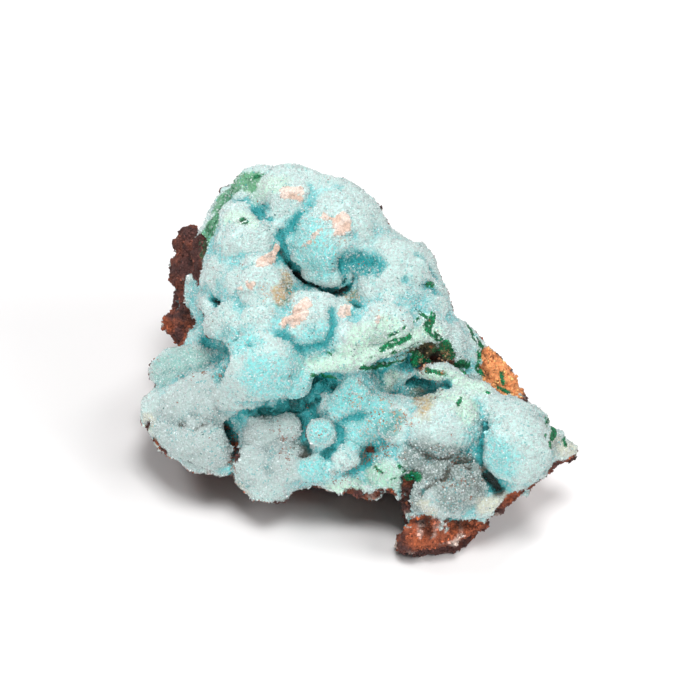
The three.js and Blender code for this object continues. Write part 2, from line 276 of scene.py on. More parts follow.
# Each valley is a groove cut along a route: half width, depth of the cut, how deep the painted shade in
# its colour is, and the route as seen places.
VALLEYS = [
    (1.3, 0.9, 3.2, [(-14, 19.8), (-12, 16), (-9.6, 13.6), (-7, 12.6), (-5, 11.8), (-2, 11.8),
                     (-0.6, 12.6)]),
    (1.0, 0.9, 5.2, [(-10.6, 15), (-8.4, 13.2), (-5.4, 11.8)]),
    (1.0, 0.9, 5.2, [(-2, 12), (-0.8, 12.6)]),
    (0.8, 0.7, 1.9, [(15, -20.8), (19, -21.6), (24, -23.6)]),
    (0.7, 0.7, 1.7, [(20, -22), (18.8, -26), (14.4, -28.6)]),
    (0.7, 0.6, 1.5, [(24, -24), (25.4, -28)]),
    (1.0, 1.2, 1.4, [(-14, 23.4), (-13.4, 21)]),
    (1.0, 1.2, 1.5, [(-1.4, 17.6), (-1.2, 13.6)]),
    (0.8, 1.0, 1.6, [(0, 10), (1.6, 8.6)]),
    (0.9, 0.8, 1.5, [(-3.6, 8.2), (-3.2, 5.4), (-3.6, 3)]),
    (1.2, 1.4, 2.3, [(-21, -12), (-17.6, -12.4), (-12, -11.8), (-7.6, -10.8), (-6.4, -10)]),
    (1.4, 1.0, 1.6, [(-25.6, -5), (-24.4, -2), (-25.6, 1)]),
    (1.0, 1.0, 1.2, [(-29, 2), (-25, 0.4), (-20, 1)]),
    (1.0, 1.1, 1.2, [(-14, 3), (-10, 0.4), (-5, 1), (-3.4, 4), (-4, 7.6)]),
    (0.7, 0.5, 1.0, [(-34, -15), (-31, -16), (-29, -15)]),
    (0.9, 1.4, 1.6, [(-25, -14.4), (-23.4, -17), (-22.6, -21), (-23.4, -25), (-24.4, -26.4)]),
    (0.9, 0.9, 1.5, [(-9.4, -13.4), (-9.8, -17), (-8.2, -20), (-4.6, -21)]),
    (0.9, 0.5, 0.9, [(-8, -12.6), (-4.4, -13), (-1.8, -15.6), (-1.6, -18.6)]),
    (0.9, 1.0, 1.2, [(-10, -21), (-5, -21), (-3, -19.4)]),
    (1.2, 1.2, 1.5, [(4, -19.8), (3, -22), (1, -24)]),
    (1.6, 0.8, 2.0, [(-7.6, -6.6), (-3.4, -7.4)]),
    (1.5, 1.2, 1.8, [(11.6, -2.6), (16, -2.0), (19.6, -1.4)]),
    (1.0, 1.4, 2.6, [(12, -6.2), (16, -6.2), (19.6, -7)]),
    (1.0, 1.2, 1.7, [(27.4, -15), (26.6, -19), (26.2, -22), (27, -25), (29.6, -27.6)]),
    (1.1, 1.4, 5.0, [(27.4, -25.2), (29.8, -27.8)]),
    (0.8, 0.9, 1.4, [(21, -23), (24, -22.6)]),
    (0.9, 0.4, 0.9, [(12, -19), (16, -20.6), (20, -21), (24, -23)]),
    (1.7, 0.9, 1.2, [(-2, 17.6), (2, 17.4), (6, 17)]),
    (0.8, 0.9, 1.2, [(3.2, 17), (3.6, 15.6)]),
    (0.6, 1.6, 4.4, [(-27.6, 10.2), (-26.2, 9)]),
    (0.9, 0.7, 1.4, [(-10, 27), (-12, 25), (-13.6, 22)]),
    (1.0, 0.5, 1.2, [(-19, 27.6), (-16, 25.6)]),
    (0.8, 1.0, 1.6, [(12.6, -24), (11.6, -27), (11, -31)]),
    (0.7, 0.9, 1.4, [(11, -34.4), (16, -33.6), (20, -34), (24, -35.4)]),
    (0.8, 0.5, 1.0, [(11, 14), (16, 12.4), (19, 10)]),
    (0.8, 0.5, 0.9, [(17, 14), (13, 19)]),
    (0.9, 0.6, 1.2, [(-6, -14), (-1, -14), (3, -13)]),
]
# Each ridge is raised along a route: half width, rise, and the route as seen places.
RIDGES = [
    (1.6, 1.1, [(-8, -4.4), (-1, -2.4), (6, -0.4), (12, 2), (18, 4)]),
    (1.2, 0.8, [(8, -5.4), (14, -5), (20, -5.6), (26, -5.6)]),
]
# The surface is first sunk a little, so that the knobs don't swell far past the solid. Behind, where
# nothing is seen, it has plain round lumps of one size. All shaping fades out between the two heights.
SUNK_FIRST = 0.5
LUMP_BEHIND = 8.0
RISE_BEHIND = 1.2
SINK_BEHIND = 0.5
FOOT_FADE = (0.2, 1.6)
# How much of a hollow between two lumps the crust has filled: the share, the depth that is left as it
# is, and the depth past which no more is filled. A hollow is found by settling the net for so many rounds.
FILLING = 0.8
LEFT_HOLLOW = 0.1
DEEPEST_FILLED = 3.0
HOLLOW_ROUNDS = 110
# The edges of the grooves are ragged: by how much, at what size, and how far in they start.
RAGGED = 0.7
RAGGED_SIZE = 1.7
RAGGED_INSET = 0.15


def dome(reach):
    """The height of half a ball at a share of its radius from the middle: 1 there, 0 from its edge on."""
    return np.sqrt(np.clip(1 - reach**2, 0, 1))


def outward_part(moves, directions):
    """How far each move goes along its own direction."""
    return np.einsum("ij,ij->i", moves, directions)


def settled(values, pairs, rounds):
    """Values at the points of a net, each moved half way to its neighbours' average, round after round."""
    one, two = pairs[:, 0], pairs[:, 1]
    count = np.bincount(pairs.ravel(), minlength=len(values)).astype(float)
    values = values.copy()
    for _ in range(rounds):
        for axis in range(3):
            column = values[:, axis]
            around = np.bincount(one, column[two], len(values))
            around += np.bincount(two, column[one], len(values))
            values[:, axis] = 0.5 * column + 0.5 * around / count
    return values


def reshaped(mesh, moved):
    """Gives a mesh its moved points, and hands back its outward directions and the tree to look into."""
    mesh.vertices.foreach_set("co", (moved * MM).ravel().astype(np.float32))
    mesh.update()
    return outward_of(mesh), tree_of(mesh, moved)


pairs = np.empty(len(stone_mesh.edges) * 2, np.int32)
stone_mesh.edges.foreach_get("vertices", pairs)
pairs = pairs.reshape(-1, 2)
is_front = ease(outward @ OUTWARD, -0.35, 0.1)
hollow = outward_part(settled(points, pairs, HOLLOW_ROUNDS) - points, outward)
filled = FILLING * is_front * np.clip(hollow - LEFT_HOLLOW, 0, DEEPEST_FILLED)
swell = np.zeros(len(points))
for across, up, radius, rise in KNOBS:
    swell = np.maximum(swell, rise * dome(from_route(points, [(across, up)]) / radius))
for width, rise, route in RIDGES:
    swell = np.maximum(swell, rise * np.exp(-((from_route(points, route) / width) ** 2)))
behind = (1 - is_front) * (RISE_BEHIND * dome(cells(points, LUMP_BEHIND, 27)) - SINK_BEHIND)
grown = swell - SUNK_FIRST + filled + behind
points = points + (grown * ease(points[:, 2], *FOOT_FADE))[:, None] * outward
outward, tree = reshaped(stone_mesh, points)

sunk = np.zeros(len(points))
# How much painted shade each point's colour gets from the valleys near it.
painted_shade = np.zeros(len(points))
ragged = RAGGED * np.abs(waves(points, RAGGED_SIZE, 70)) - RAGGED_INSET
for width, depth, shade, route in VALLEYS:
    nearness = np.exp(-(((from_route(points, route) + ragged) / width) ** 2))
    sunk = np.maximum(sunk, depth * nearness)
    painted_shade = np.maximum(painted_shade, shade * nearness)


# The finishes. The pale blue crust covers what faces the eye and the top; where it stops there is
# rusty rock. Malachite, green skin, chalky crust and rock that shows in front are strokes: half width
# and route. A colour is given as it looks on screen, 0 to 255, and used as light.
def light(red, green, blue):
    """The amount of light of a screen colour, by the standard screen curve."""
    screen = np.array([red, green, blue]) / 255
    return np.where(screen > 0.04045, ((screen + 0.055) / 1.055) ** 2.4, screen / 12.92)


ROCK_SHOWS = [
    (3.6, [(-32.4, 25), (-32, 21), (-32.6, 17)]),
    (2.6, [(-30, 20.6), (-30.6, 15.6)]),
    (2.2, [(-33.6, 17), (-34, 12), (-34.2, 7)]),
    (3.4, [(-34.8, 6.6), (-34.6, 2.8)]),
    (1.8, [(-32.6, 7.4), (-31.6, 5.0)]),
    (3.6, [(28.6, -2.4), (29.4, -6.4)]),
    (2.6, [(31, -2.4), (32.6, -6)]),
    (1.5, [(32, -7.4), (34.4, -9.6)]),
    (2.0, [(13.2, -1.4), (16.4, 0.2), (19.4, -1.4)]),
    (1.3, [(14.4, -2.6), (18.4, -2.2)]),
    (2.4, [(16.7, -1.4)]),
    (1.3, [(14.9, -33.9)]),
    (2.0, [(-34.6, 22), (-35.2, 17)]),
    (2.0, [(-36.6, 6), (-37, 2)]),
    (1.8, [(-35.4, 16), (-36, 11), (-37, 6)]),
    (2.0, [(27, -35.4), (31, -32.4), (34, -29.6)]),
    (1.2, [(34.4, -8.4), (35.2, -9.4)]),
    (0.9, [(-24.6, -15.4), (-22.8, -19), (-22.6, -22)]),
    (1.0, [(4, -19.8)]),
    (1.7, [(11.6, -26.6), (11.4, -31)]),
    (1.3, [(0, -28.8), (4, -29.2), (8, -29)]),
    (3.4, [(10, -39), (16, -38), (25, -37)]),
    (1.1, [(12, -34.6), (17, -34.2), (22, -35), (26, -34.8)]),
    (1.5, [(26, -35.6), (30, -32.8), (33, -29.8), (37, -26.6), (40, -24.4), (43.4, -22.2)]),
    (0.7, [(-40.2, -15), (-39.6, -18), (-38, -21)]),
]
# Hollows that stay crusted inside, although they face away.
CRUSTED = [
    (7.0, [(-22, -11), (-16, -11.6), (-8, -9), (0, -9), (8, -12)]),
    (5.0, [(-14, 21), (-8, 13), (0, 13)]),
    (4.0, [(12, -6.4), (20, -7)]),
    (4.0, [(-26, 0), (-24, -4)]),
    (3.0, [(26, -18), (27, -24)]),
]
GREEN_SKIN = [
    (2.4, [(-20, 34), (-24, 31.6), (-26, 29)]),
    (2.2, [(-26.6, 26), (-28.6, 23), (-29, 20.6)]),
]
MALACHITE = [
    (0.9, [(-21.4, 26), (-21, 25.6)]),
    (0.5, [(-19, 34.4), (-17, 35)]),
    (0.5, [(14, 7.4), (16, 6), (15, 5)]),
    (0.8, [(16.6, 7), (15.6, 4), (18, 2)]),
    (1.3, [(18.6, 1.4), (20, -0.2)]),
    (0.9, [(20, 0), (22, -2.6), (23.4, -3)]),
    (0.9, [(23.4, 4.8), (24.6, 2.4), (26.2, 0.2)]),
    (0.9, [(25.8, -0.6), (25.4, -3.4), (26.4, -5)]),
    (0.7, [(15.4, 13.4), (16.4, 12.8)]),
    (0.7, [(6, -0.2), (8.6, 1.4), (11.8, 2.6)]),
    (0.35, [(8, 3), (11, 4.6), (13.6, 6.2)]),
    (0.35, [(4, -1.4), (7.4, -0.8), (11, 0.4), (13.6, 1.6)]),
    (0.35, [(6, -1.8), (9, -1.4), (12.4, -0.6)]),
    (0.9, [(2.6, -3.4), (5, -3.2), (7.8, -2.8)]),
    (0.5, [(7.8, -2.6), (11, -1.8), (13.4, -1.2)]),
    (0.5, [(-7.6, -5), (-5, -5.2), (-3, -5.4)]),
    (0.45, [(30.2, -4.8), (30.6, -6.8)]),
    (1.2, [(13, -1), (15, -2.6), (12.6, -2.2)]),
    (1.0, [(17, 0.2), (20, -1)]),
    (0.6, [(15.4, -4), (18, -4.6), (19.4, -5)]),
    (0.9, [(21, -3.6), (22.6, -4.4)]),
    (0.5, [(27.4, -8.4), (28, -8.8)]),
    (0.6, [(29, -7.6), (31, -8), (31.6, -8.6)]),
    (0.4, [(22.2, -9.6)]),
    (0.5, [(21.4, -11), (22, -10)]),
    (0.5, [(39, -13.6), (39, -17)]),
    (0.9, [(40, -14.4), (40.6, -17), (40, -19)]),
    (0.4, [(-4.4, -0.4), (-3.6, -1)]),
    (0.4, [(6.4, -24.6), (5, -23.4)]),
    (0.5, [(8, -26), (9, -25.6)]),
    (0.6, [(10, -23.4), (10.6, -24)]),
    (1.2, [(12, -25), (13.6, -25.6)]),
    (0.5, [(42.6, -17.6), (43, -19)]),
]
CHALK = [
    (1.2, [(-16.2, 18.2), (-17.8, 17)]),
    (0.7, [(-14.6, 20.6), (-16.2, 18.2)]),
    (1.5, [(-10, 7.4), (-11.4, 6.2)]),
    (0.9, [(-9, 9.4), (-13.2, 5.2)]),
    (1.2, [(-12.6, 31.6), (-9.8, 31.8)]),
    (0.8, [(-13.2, 31), (-10, 30.6)]),
    (1.5, [(-2.0, 26.2), (-1.6, 24.6)]),
    (0.5, [(-5, 26.6), (-3, 26.2)]),
    (0.4, [(-9.6, 20.8), (-8.2, 21.6), (-7, 23), (-5.6, 24)]),
    (0.4, [(-4.6, 21), (-4, 22.4), (-2.4, 23.4)]),
    (0.6, [(-21.6, 12.2)]),
    (0.9, [(-20, 12.8)]),
    (0.8, [(-1.8, 7.4), (-0.6, 8)]),
    (0.3, [(5.6, 6.4), (4.8, 5)]),
]
# Places where the crust takes another tint: tint, radius, and route.
TINTS = [
    ("grey", 5.5, [(-29, -9), (-37, -14), (-29, -21)]),
    ("grey", 5.0, [(-28, -16), (-18, -24), (-12, -21)]),
    ("grey", 3.6, [(-18, -16.4), (-13, -16)]),
    ("grey", 4.6, [(18, -26), (24, -28), (17, -31)]),
    ("slate", 4.2, [(15, -21), (20, -22.4), (25, -26)]),
    ("slate", 2.2, [(13, -24), (13, -30)]),
    ("slate", 2.4, [(18.4, -26), (20, -30)]),
    ("shade", 4.0, [(-37, -4), (-31, -2)]),
    ("mint", 3.0, [(-8, -3), (0, -1.6), (8, 0.4), (16, 3)]),
    ("mint", 3.0, [(2, 2), (7, 4)]),
    ("mint", 2.4, [(8, -6), (20, -6), (27, -7)]),
    ("mint", 3.2, [(16, -10), (24, -12)]),
    ("sage", 2.8, [(5, -25), (9, -26)]),
    ("lake", 3.6, [(-1, -9), (3, -12), (7, -14)]),
    ("aqua", 3.0, [(-6.2, -16.6)]),
    ("aqua", 3.2, [(-7.2, -24)]),
    ("mint", 2.2, [(-24, 26.4), (-20, 26)]),
    ("mint", 2.4, [(-19, 31.6), (-14, 33.6)]),
    ("mint", 1.8, [(-3, -27.6), (1, -27)]),
    ("bone", 2.4, [(40, -18), (45, -20)]),
    ("bone", 1.6, [(27, -31), (31, -29)]),
    ("bone", 1.3, [(16, -32.6), (15, -31)]),
    ("bone", 1.5, [(-40.4, -14), (-39, -19)]),
    ("bone", 1.0, [(-24, -26), (-20, -29)]),
    # The teal tints are painted shade: darker teal laid along three valleys.
    ("teal_shade", 2.6, [(-1, 17.6), (5, 17)]),
    ("teal_shade", 2.2, [(-7, -7), (-3, -7.4)]),
    ("teal_shade", 3.4, [(-25, 0), (-25, -4)]),
    ("aqua", 4.6, [(-17.6, -5), (-10, -8)]),
    ("aqua", 4.6, [(-2, -10), (4, -12), (1, -16)]),
    ("aqua", 5.0, [(-6, 18), (-9, 22)]),
    ("aqua", 3.4, [(-5, 2), (-10, 1)]),
    ("aqua", 4.0, [(30, -22), (27, -18)]),
    ("aqua", 3.4, [(-27, 2), (-21, 1)]),
    ("ochre", 1.8, [(-13, 14), (-13.4, 11)]),
    ("ochre", 1.4, [(-0.6, 11), (0.8, 9.6)]),
    ("ochre", 2.0, [(14, -8), (15, -12)]),
]
TINT_LIGHT = {
    "grey": light(184, 198, 196),
    "slate": light(138, 152, 148),
    "lake": light(88, 160, 156),
    "sage": light(176, 214, 196),
    "shade": light(158, 196, 190),
    "mint": light(204, 230, 215),
    "bone": light(208, 208, 194),
    "teal_shade": light(66, 178, 180),
    "aqua": light(148, 216, 216),
    "ochre": light(198, 176, 138),
}
# The pale colour is also painted highlight on swellings and tops. The deep, pit, darkest and grey-deep
# colours are painted shade in the valleys; the deep one is also the colour of the bluer grains.
PALE = light(212, 234, 231)
BLUE = light(150, 218, 220)
DEEP = light(56, 180, 184)
PIT_SHADE = light(16, 108, 108)
DARKEST_SHADE = light(26, 30, 26)
GREY_SHADE = light(96, 96, 86)
SOFT_GREEN = light(84, 156, 112)
MALACHITE_GREEN = light(0, 118, 72)
MALACHITE_DARK = light(4, 50, 30)
CHALK_WHITE = light(228, 212, 202)
CHALK_PEACH = light(214, 188, 172)
CHALK_TAN = light(176, 134, 108)
CHOCOLATE = light(74, 42, 38)
RUST = light(142, 72, 43)
ORANGE = light(244, 164, 106)
FOOT_RUST = light(178, 92, 54)
OLIVE = light(62, 70, 42)
ROCK_WHITE = light(204, 190, 180)
# Rock with a colour of its own: the orange nodule, the rusty foot and the olive hollow. Below the two
# heights everything is rock.
NODULE = [(29.6, -2.8), (30.8, -6.4)]
FOOT = [(13, -37), (18, -36.4), (25, -35.4)]
OLIVE_HOLLOW = [(13, -0.4), (18.6, 0.2)]
ROCK_BELOW = (6.5, 5.5)
# The depths of painted shade at which a valley begins and ends to turn deep, then dark, then near black,
# and how fully.
DEEP_AT = (0.2, 1.4)
PIT_AT = (2.3, 3.6)
DARKEST_AT = (3.7, 4.6)
FULLY = 0.9
# Tints whose valleys' painted shade is grey and not blue.
GREYISH = ("grey", "slate", "bone")
# The fibres of the green skin run upright, so their noise is stretched that way.
UPRIGHT = np.array([1.0, 1.0, 0.35])
# How much of the green skin has no quartz on it.
BARE_SKIN = 0.7


def mixed(under, over, share):
    """Two colours, or arrays of them, mixed by a share from 0 to 1 for each place."""
    return under * (1 - share[:, None]) + over * share[:, None]


def stroke_share(places, strokes, edge, wobble):
    """How much a place belongs to any of the strokes: 1 inside, 0 outside, with a wavering edge."""
    share = np.zeros(len(places))
    for width, route in strokes:
        share = np.maximum(share, ease(from_route(places, route) + wobble, width + edge, width - edge))
    return share


def wavering(places):
    """How far the edges between finishes waver, in millimetres, by noise of three sizes."""
    return 0.5 * waves(places, 2.2, 3) + 0.35 * waves(places, 0.9, 4) + 0.2 * waves(places, 0.45, 15)


def shares_of(places, normals, wobble):
    """How much each place belongs to the rock, the malachite, the green skin and the chalky crust."""
    facing = normals @ OUTWARD
    broad = waves(places, 11.0, 5) + 0.5 * waves(places, 5.0, 6)
    crusted = np.maximum(ease(facing, -0.12, 0.06), ease(normals[:, 2], 0.35, 0.6))
    crusted = np.maximum(crusted, ease(broad + 0.5 * normals[:, 2], 0.45, 0.6))
    crusted = np.maximum(crusted, stroke_share(places, CRUSTED, 0.8, wobble))
    rock = np.maximum(1 - crusted, stroke_share(places, ROCK_SHOWS, 0.2, 1.1 * wobble))
    rock = np.maximum(rock, ease(places[:, 2] + 2.0 * wobble, *ROCK_BELOW))
    green = stroke_share(places, MALACHITE, 0.1, 0.5 * wobble + 0.1)
    green *= ease(waves(places, 0.8, 16) + 0.5 * waves(places, 0.4, 17), -0.75, -0.5)
    skin = stroke_share(places, GREEN_SKIN, 0.4, 1.2 * wobble)
    chalk = stroke_share(places, CHALK, 0.1, 1.1 * wobble)
    return rock, green, skin, chalk


def crust_colour(places, normals, rise, depth, wobble):
    """The crust's colour in its patch's tint, with painted highlight on swellings and tops and painted
    shade in valleys.
    """
    # Painted highlight: the crust is paler where it stands out and where it faces up.
    above = ease(normals[:, 2], 0.1, 0.95)
    crown = ease(rise + 0.25 * above + 0.12 * waves(places, 4.0, 7), -0.15, 0.75)
    colour = mixed(BLUE, PALE, crown)
    greyed = np.zeros(len(places))
    for tint, radius, route in TINTS:
        share = ease(from_route(places, route) + 1.6 * wobble, 1.25 * radius, 0.6 * radius)
        # The tints, too, are paler where the painted highlight is.
        shade = TINT_LIGHT[tint] * (0.86 + 0.28 * crown[:, None])
        colour = mixed(colour, shade, 0.85 * share)
        if tint in GREYISH:
            greyed = np.maximum(greyed, share)
    # Painted shade: the valleys turn deep, then pit-coloured, then near black.
    mottle = 0.45 * waves(places, 1.4, 8) + 0.3 * waves(places, 0.6, 18)
    shade_depth = depth + mottle
    colour = mixed(colour, mixed(DEEP, GREY_SHADE, greyed), FULLY * ease(shade_depth, *DEEP_AT))
    colour = mixed(colour, PIT_SHADE, FULLY * ease(shade_depth, *PIT_AT))
    return mixed(colour, DARKEST_SHADE, FULLY * ease(shade_depth, *DARKEST_AT))


def rock_colour(places, depth, wobble):
    """The rock's colour: brown and rusty, whitish in spots low down, and with painted shade in its own
    hollows.
    """
    height = places[:, 2]
    rusty = ease(waves(places, 3.0, 12) + 0.5 * waves(places, 1.1, 13), -0.2, 0.6)
    rusty *= 0.35 + 0.65 * ease(height, 26.0, 14.0)
    tone = mixed(CHOCOLATE, RUST, rusty)
    nodule = ease(from_route(places, NODULE) + 0.5 * wobble, 5.2, 4.4)
    tone = mixed(tone, ORANGE, 0.9 * nodule)
    foot = ease(from_route(places, FOOT) + 2.0 * wobble, 4.0, 2.0)
    tone = mixed(tone, FOOT_RUST, 0.6 * foot)
    low = ease(height, 12.0, 4.0)
    tone = mixed(tone, ROCK_WHITE, 0.7 * low * ease(waves(places, 2.4, 14), 0.3, 0.55))
    olive = ease(from_route(places, OLIVE_HOLLOW) + wobble, 3.2, 2.0)
    tone = mixed(tone, OLIVE, 0.75 * olive)
    # Painted shade: the rock is darker where the valleys' painted shade is.
    return tone * (1 - 0.6 * ease(depth + 0.3 * waves(places, 0.8, 51), 0.15, 1.0))[:, None]


def chalk_colour(places, chalk):
    """The chalky crust's colour: white with peach in it, and tan along its edge."""
    peach = ease(waves(places, 1.3, 11) + 0.5 * waves(places, 0.5, 19), -0.1, 0.6)
    tone = mixed(CHALK_WHITE, CHALK_PEACH, peach)
    return mixed(tone, CHALK_TAN, 0.8 * ease(chalk, 0.95, 0.4))


def finish_and_painted_light_of(places, normals, rise, depth):
    """The colour of each place, painted light and shade included, and its share of rock, green, chalk and
    druse.
    """
    wobble = wavering(places)
    rock, green, skin, chalk = shares_of(places, normals, wobble)
    colour = crust_colour(places, normals, rise, depth, wobble)
    fibres = waves(places * UPRIGHT, 0.8, 9)
    colour = mixed(colour, SOFT_GREEN * (1 + 0.25 * fibres[:, None]), 0.9 * skin)
    veins = ease(np.abs(waves(places, 2.6, 10) + 0.3 * fibres), 0.16, 0.03)
    green = np.maximum(green, 0.75 * skin * veins)
    colour = mixed(colour, chalk_colour(places, chalk), ease(chalk, 0.2, 0.6))
    colour = mixed(colour, rock_colour(places, depth, wobble), rock)
    colour = mixed(colour, mixed(MALACHITE_GREEN, MALACHITE_DARK, 0.7 * veins), green)
    druse = (1 - rock) * (1 - chalk) * (1 - green) * (1 - BARE_SKIN * skin)
    return colour, rock, green, chalk, druse


# The finer form. The crust has round beads of two sizes on low waves, the rock has crags, cracks and
# rough blocks of two sizes, the chalky crust stands out a little, and the valleys are cut. The underside
# is eaten away a little. All of it stays inside the solid's own box, with room on every side but the one
# it rests on.
BEAD_SIZE = 3.4
BEAD_RISE = 0.8
SMALL_BEAD_SIZE = 1.5
SMALL_BEAD_RISE = 0.35
CRAG_SIZES = (5.0, 2.0, 0.9)
BLOCK_SIZE = 3.2
SMALL_BLOCK_SIZE = 1.7
EATEN = 1.6
EDGE_ROOM = 0.35

_, first_rock, _, first_chalk, _ = finish_and_painted_light_of(points, outward, swell, painted_shade)
beads = BEAD_RISE * dome(cells(points, BEAD_SIZE, 21))
beads += SMALL_BEAD_RISE * dome(cells(points, SMALL_BEAD_SIZE, 24))
beads += 0.4 * waves(points, 4.5, 60) + 0.2 * waves(points, 2.0, 61)
crags = sum(0.25 * size * waves(points, size, 30 + n) for n, size in enumerate(CRAG_SIZES))
crags -= 0.5 * ease(np.abs(waves(points, 3.0, 34)), 0.25, 0.0)
crags += 1.6 * (0.5 - np.clip(cells(points, BLOCK_SIZE, 41), 0, 1))
crags += 0.9 * (0.5 - np.clip(cells(points, SMALL_BLOCK_SIZE, 44), 0, 1))
shape = (1 - first_rock) * (beads - 0.5) + first_rock * crags - sunk
shape += first_chalk * (0.4 + 0.6 * waves(points, 1.2, 35))
shape *= ease(points[:, 2], *FOOT_FADE)
points = points + shape[:, None] * outward
points[:, 2] += EATEN * ease(-outward[:, 2], 0.1, 0.7) * ease(points[:, 2], 0.6, 3.0)
low_corner = np.array(cad_box[0]) / MM
high_corner = np.array(cad_box[1]) / MM
inner_low = low_corner + EDGE_ROOM * np.array([1, 1, 0])
points = np.clip(points, inner_low, high_corner - EDGE_ROOM)
outward, tree = reshaped(stone_mesh, points)

# How far each point stands out from the settled surface near it, and from the one farther around it. What
# stands out gets painted highlight and what lies low gets painted shade. The colours go by directions that
# are settled too, so a bead has one colour.
NEAR_ROUNDS = 24
FAR_ROUNDS = 130
DIRECTION_ROUNDS = 14


def unit(vectors):
    """The same directions, all of them one long."""
    return vectors / np.linalg.norm(vectors, axis=1)[:, None]


nearby = settled(points, pairs, NEAR_ROUNDS)
widely = settled(nearby, pairs, FAR_ROUNDS)
small_stand = outward_part(points - nearby, outward)
stand = outward_part(points - widely, outward)
rise = stand + small_stand
# Painted shade in the hollows is added to the valleys' painted shade.
painted_shade = painted_shade + ease(-stand, 0.1, 1.2) * 1.2 + ease(-small_stand, 0.04, 0.3) * 0.35
lie = unit(settled(outward, pairs, DIRECTION_ROUNDS))
colour, rock, green, chalk, druse = finish_and_painted_light_of(points, lie, rise, painted_shade)
# How much deeper the blue is under the clear grains: the power its light is raised to.
UNDER_GRAINS = 1.5


def give_colour(mesh, name, colours):
    """Keeps one colour for each point of a mesh, for its material to read."""
    values = np.ones((len(colours), 4), np.float32)
    values[:, :3] = colours
    mesh.attributes.new(name, "FLOAT_COLOR", "POINT").data.foreach_set("color", values.ravel())


def give_number(mesh, name, numbers):
    """Keeps one number for each point of a mesh, for its material to read."""
    mesh.attributes.new(name, "FLOAT", "POINT").data.foreach_set("value", numbers.astype(np.float32))


under_grains = np.clip(colour, 0, 1) ** UNDER_GRAINS
give_colour(stone_mesh, "colour_with_painted_light", mixed(np.clip(colour, 0, 1), under_grains, druse))
give_number(stone_mesh, "rock", rock)
stone_mesh.shade_smooth()


def new_material(name):
    """A material with its shader, and a short way to add and join its nodes."""
    material = bpy.data.materials.new(name)
    material.use_nodes = True
    nodes, links = material.node_tree.nodes, material.node_tree.links
    shader = nodes["Principled BSDF"]

    def add(kind, **settings):
        node = nodes.new(kind)
        for key, value in settings.items():
            if key in node.inputs:
                node.inputs[key].default_value = value
            else:
                setattr(node, key, value)
        return node

    def join(out_socket, in_socket):
        links.new(out_socket, in_socket)

    return material, shader, add, join


def freckled(new, here, attribute, speck, span, tones):
    """Colours a new material by an attribute, darker and lighter from speck to speck of a noise.

    The span of the noise is spread over the tones that the colour is multiplied by.
    """
    _, shader, add, join = new
    colour_with_painted_light = add("ShaderNodeAttribute", attribute_name=attribute)
    join(here.outputs["Object"], speck.inputs["Vector"])
    tone = add("ShaderNodeMapRange")
    for socket, value in zip(("From Min", "From Max", "To Min", "To Max"), span + tones):
        tone.inputs[socket].default_value = value
    join(speck.outputs["Fac"], tone.inputs["Value"])
    scaled = add("ShaderNodeVectorMath", operation="SCALE")
    join(colour_with_painted_light.outputs["Color"], scaled.inputs[0])
    join(tone.outputs["Result"], scaled.inputs["Scale"])
    join(scaled.outputs["Vector"], shader.inputs["Base Color"])


def stone_material():
    """The body under the grains: its colour with painted light and shade, freckled, dull on rock and a
    little wet on crust.
    """
    new = new_material("stone_body")
    material, shader, add, join = new
    here = add("ShaderNodeTexCoord")
    freckle = add("ShaderNodeTexNoise", Scale=1400.0, Detail=3.0, Roughness=0.6)
    freckled(new, here, "colour_with_painted_light", freckle, (0.3, 0.7), (0.8, 1.12))
    rocky = add("ShaderNodeAttribute", attribute_name="rock")
    dull = add("ShaderNodeMapRange", **{"To Min": 0.5, "To Max": 0.85})
    join(rocky.outputs["Fac"], dull.inputs["Value"])
    join(dull.outputs["Result"], shader.inputs["Roughness"])
    grit = add("ShaderNodeTexVoronoi", Scale=1700.0)
    join(here.outputs["Object"], grit.inputs["Vector"])
    bump = add("ShaderNodeBump", Strength=0.7, Distance=0.0003)
    join(grit.outputs["Distance"], bump.inputs["Height"])
    join(bump.outputs["Normal"], shader.inputs["Normal"])
    return material


stone_mesh.materials.clear()
stone_mesh.materials.append(stone_material())
stone = bpy.data.objects.new("stone", stone_mesh)
bpy.context.scene.collection.objects.link(stone)
stone_alone.objects.link(stone)
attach(stone, "root")
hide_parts("specimen")


# The druse. Tiny clear quartz points stand side by side all over the crust, each a three-sided double
# point half sunk in it, leaning a little its own way. They are too many for one piece, so they are three.
# A grain's radius is in millimetres and its height is a share of that, each between two values.
DRUSE_PIECES = 3
GRAINS_A_PIECE = 31500
GRAIN_RADIUS = (0.17, 0.38)
GRAIN_HEIGHT = (0.45, 0.9)
GRAIN_LEAN = 0.42
GRAIN_TONE = (0.86, 1.08)
# Some grains are clearer and whiter, some bluer, and a few are painted glints: plain white, for flashes of
# light.
CLEAREST = np.array([0.84, 0.98, 0.98])
MOST_CLEAR = 0.55
BLUER_SHARE = 0.16
BLUER = 0.55
GLINT_SHARE = 0.025
GLINT = np.array([0.9, 1.0, 1.0])
# The sunk tip of a grain is this share as deep as the other stands high. Grains keep to the solid's box.
SUNK_TIP = 0.67
GRAIN_ROOM = 0.01
